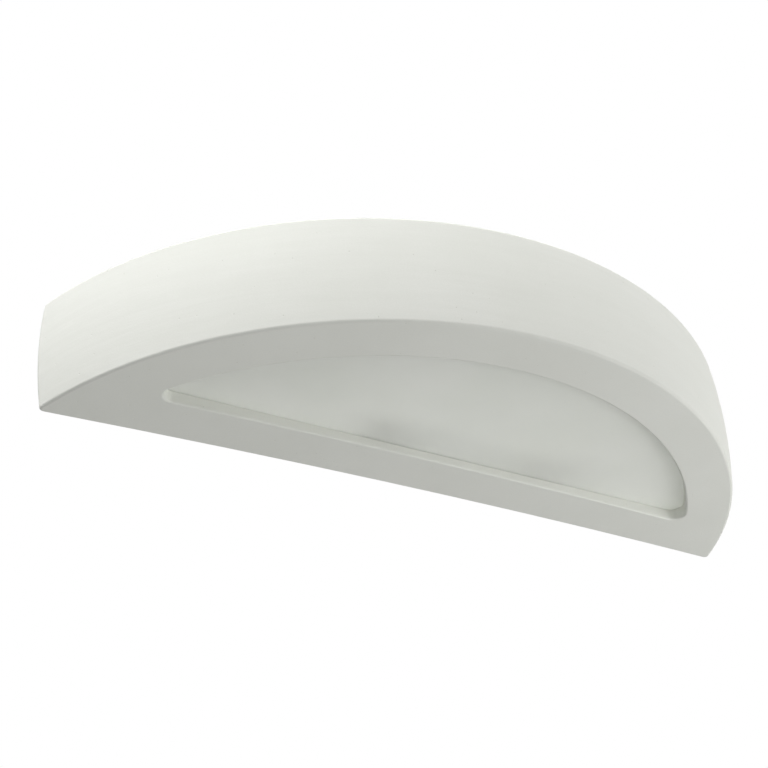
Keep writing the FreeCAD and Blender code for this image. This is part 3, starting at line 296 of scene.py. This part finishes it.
def earth_sleeve():
    """Green cover with a yellow stripe along the wire's run between its two turns."""
    look = Look("earth_sleeve")
    split = look.add("ShaderNodeSeparateXYZ")
    look.link(look.place, split.inputs[0])
    run = look.math("SUBTRACT", split.outputs[0], STRIPE_X)
    axis = look.math("MULTIPLY_ADD", run, STRIPE_SLOPE, STRIPE_Y)
    aside = look.math("ABSOLUTE", look.math("SUBTRACT", split.outputs[1], axis))
    stripe = look.spread(aside, 1.0, 0.0, STRIPE_INNER, STRIPE_OUTER)
    fine = look.noise(0.001, 2.0)
    look.set(Base_Color=look.blend(stripe, rgb(0.06, 0.30, 0.07), rgb(0.82, 0.66, 0.05)),
             Roughness=look.spread(fine, 0.38, 0.5))
    look.bump((fine, 0.00002))
    return look.material


def fibre():
    """Red vulcanised fibre, a little felted."""
    look = Look("fibre")
    felt = look.noise(0.0008, 4.0)
    tone = look.blend(look.spread(felt, 0.0, 1.0), rgb(0.46, 0.15, 0.09), rgb(0.60, 0.25, 0.16))
    look.set(Base_Color=tone, Roughness=look.spread(felt, 0.66, 0.82))
    look.bump((felt, 0.00004))
    return look.material


MATERIALS = {
    "bisque": bisque(),
    "frosted_glass": frosted_glass(),
    "silicone": coated("silicone", rgb(0.74, 0.74, 0.71), 0.55, 0.0008, 0.00001),
    "zinc_steel": metal("zinc_steel", rgb(0.62, 0.63, 0.64), 0.38, 0.0015),
    "threaded_steel": threaded("threaded_steel", rgb(0.60, 0.61, 0.62), 0.32, 1, 0.0007),
    "white_steel": coated("white_steel", rgb(0.80, 0.80, 0.78)),
    "fibre": fibre(),
    "brass": metal("brass", rgb(0.76, 0.56, 0.25), 0.3, 0.001, worn=0.2),
    "nickel": metal("nickel", rgb(0.70, 0.67, 0.62), 0.22, 0.0008),
    "bright_aluminium": metal("bright_aluminium", rgb(0.84, 0.85, 0.86), 0.3, 0.0009,
                              stretch=(0.04, 1.0, 1.0)),
    "steatite": steatite(),
    "quartz": quartz(),
    "tungsten": metal("tungsten", rgb(0.30, 0.29, 0.28), 0.4, 0.0006),
    "copper_alloy": metal("copper_alloy", rgb(0.78, 0.44, 0.28), 0.3, 0.001, worn=0.2),
    "block_plastic": coated("block_plastic", rgb(0.82, 0.82, 0.79), 0.38, 0.0009, 0.00001),
    "earth_sleeve": earth_sleeve(),
    "brown_sleeve": sleeve("brown_sleeve", rgb(0.22, 0.10, 0.05)),
    "blue_sleeve": sleeve("blue_sleeve", rgb(0.05, 0.13, 0.38)),
    "black_rubber": coated("black_rubber", rgb(0.035, 0.035, 0.035), 0.62, 0.0008),
}
OWN_LOOK = {"shade_studs": "threaded_steel"}    # pieces that look different from their slot


def dress_nodes():
    """Give each CAD node the material of its slot in the record."""
    for part in frame["record"]["subparts"]:
        material = MATERIALS[OWN_LOOK.get(part["node"], part["material_slot"])]
        mesh = NODES[part["node"]].data
        mesh.materials.clear()
        mesh.materials.append(material)


def make_coil():
    """Wound filament with its straight lead-ins, in place of the frame's plain rod."""
    low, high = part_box("lamp_filament")
    points = [Vector((low[0], LAMP_Y, LAMP_Z)), Vector((-COIL_HALF - LEAD_RADIUS, LAMP_Y, LAMP_Z))]
    steps = COIL_TURNS * COIL_STEPS
    for step in range(steps + 1):
        angle = 2 * math.pi * step / COIL_STEPS
        x = COIL_HALF * (2 * step / steps - 1)
        y = LAMP_Y + COIL_RADIUS * math.sin(angle)
        z = LAMP_Z + COIL_RADIUS * math.cos(angle)
        points.append(Vector((x, y, z)))
    points += [Vector((COIL_HALF + LEAD_RADIUS, LAMP_Y, LAMP_Z)), Vector((high[0], LAMP_Y, LAMP_Z))]
    curve = bpy.data.curves.new("filament_coil", "CURVE")
    curve.dimensions = "3D"
    curve.bevel_depth = COIL_WIRE
    curve.bevel_resolution = 2
    curve.use_fill_caps = True
    spline = curve.splines.new("POLY")
    spline.points.add(len(points) - 1)
    for target, point in zip(spline.points, points):
        target.co = (*point, 1.0)
    coil = bpy.data.objects.new("filament_coil", curve)
    bpy.context.scene.collection.objects.link(coil)
    curve.materials.append(MATERIALS["tungsten"])
    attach(coil, "lamp")
    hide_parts("lamp_filament")


# Stage, light and camera

FLOOR_Z = -1.30
FLOOR_SIZE = 12.0
FLOOR_GLOW = 0.45                  # added for the camera alone
CLIP_START = 0.01
# Soft round lights: name, azimuth (0 is the front, 90 the right), elevation, distance, size and watts
LIGHTS = [
    ("fill", 0.0, 75.0, 1.6, 1.2, 8.5),
    ("key", -75.0, 40.0, 1.6, 1.2, 16.4),
    ("front", -35.0, 40.0, 1.6, 1.2, 10.8),
    ("low_left", -55.0, 5.0, 1.6, 1.2, 2.6),
    ("side", 75.0, 40.0, 1.6, 1.2, 4.5),
    ("low_right", 60.0, -25.0, 0.7, 0.5, 2.2),
    ("below", 30.0, -60.0, 0.6, 0.4, 0.3),
]
WORLD_LIGHT = 0.13
AIM = Vector((0.0, -0.07, 0.0))


def direction(azimuth, elevation):
    a, e = math.radians(azimuth), math.radians(elevation)
    return Vector((math.sin(a) * math.cos(e), -math.cos(a) * math.cos(e), math.sin(e)))


def make_light(name, azimuth, elevation, distance, size, watts):
    data = bpy.data.lights.new(name, "AREA")
    data.shape = "DISK"
    data.size = size
    data.energy = watts
    light = bpy.data.objects.new(name, data)
    bpy.context.scene.collection.objects.link(light)
    way = direction(azimuth, elevation)
    light.location = AIM + way * distance
    light.rotation_mode = "QUATERNION"
    light.rotation_quaternion = way.to_track_quat("Z", "Y")


def make_world():
    """White behind the object and in its reflections; a plain level of grey for everything else."""
    world = bpy.data.worlds.new("studio")
    world.use_nodes = True
    tree = world.node_tree
    light = tree.nodes["Background"]
    light.inputs["Color"].default_value = rgb(1.0, 1.0, 1.0)
    light.inputs["Strength"].default_value = WORLD_LIGHT
    backdrop = tree.nodes.new("ShaderNodeBackground")
    backdrop.inputs["Color"].default_value = rgb(1.0, 1.0, 1.0)
    backdrop.inputs["Strength"].default_value = 1.0
    path = tree.nodes.new("ShaderNodeLightPath")

    def join(operation, first, second):
        node = tree.nodes.new("ShaderNodeMath")
        node.operation = operation
        for socket, value in zip(node.inputs, (first, second)):
            if isinstance(value, bpy.types.NodeSocket):
                tree.links.new(value, socket)
            else:
                socket.default_value = value
        return node.outputs[0]

    clear = join("SUBTRACT", path.outputs["Is Transmission Ray"], path.outputs["Is Diffuse Ray"])
    seen = join("MAXIMUM", path.outputs["Is Camera Ray"], path.outputs["Is Glossy Ray"])
    seen = join("MAXIMUM", seen, clear)
    mixed = tree.nodes.new("ShaderNodeMixShader")
    tree.links.new(seen, mixed.inputs[0])
    tree.links.new(light.outputs[0], mixed.inputs[1])
    tree.links.new(backdrop.outputs[0], mixed.inputs[2])
    tree.links.new(mixed.outputs[0], tree.nodes["World Output"].inputs["Surface"])
    bpy.context.scene.world = world


def make_floor():
    """Pale floor well below the light, white to the camera apart from its shadow."""
    half = FLOOR_SIZE / 2
    mesh = bpy.data.meshes.new("floor")
    corners = [(x, y, FLOOR_Z) for x, y in ((-half, -half), (half, -half), (half, half), (-half, half))]
    mesh.from_pydata(corners, [], [(0, 1, 2, 3)])
    floor = bpy.data.objects.new("floor", mesh)
    bpy.context.scene.collection.objects.link(floor)
    look = Look("floor")
    look.set(Base_Color=rgb(0.86, 0.86, 0.85), Roughness=0.9)
    path = look.add("ShaderNodeLightPath")
    look.set(Emission_Color=rgb(1.0, 1.0, 1.0),
             Emission_Strength=look.math("MULTIPLY", path.outputs["Is Camera Ray"], FLOOR_GLOW))
    mesh.materials.append(look.material)


def make_camera():
    data = bpy.data.cameras.new("camera")
    data.lens = CAMERA_LENS
    data.sensor_width = SENSOR_WIDTH
    data.clip_start = CLIP_START
    camera = bpy.data.objects.new("camera", data)
    bpy.context.scene.collection.objects.link(camera)
    back = direction(CAMERA_AZIMUTH, CAMERA_ELEVATION)
    right = Vector((0.0, 0.0, 1.0)).cross(back).normalized()
    up = back.cross(right)
    turn = Matrix.Rotation(math.radians(CAMERA_ROLL), 4, "Z")
    upright = Matrix((right, up, back)).transposed().to_4x4()
    camera.matrix_world = Matrix.Translation(CAMERA_PLACE) @ upright @ turn
    bpy.context.scene.camera = camera


dress_nodes()
make_coil()
make_world()
make_floor()
for settings in LIGHTS:
    make_light(*settings)
make_camera()
bpy.context.scene.view_settings.view_transform = "Standard"
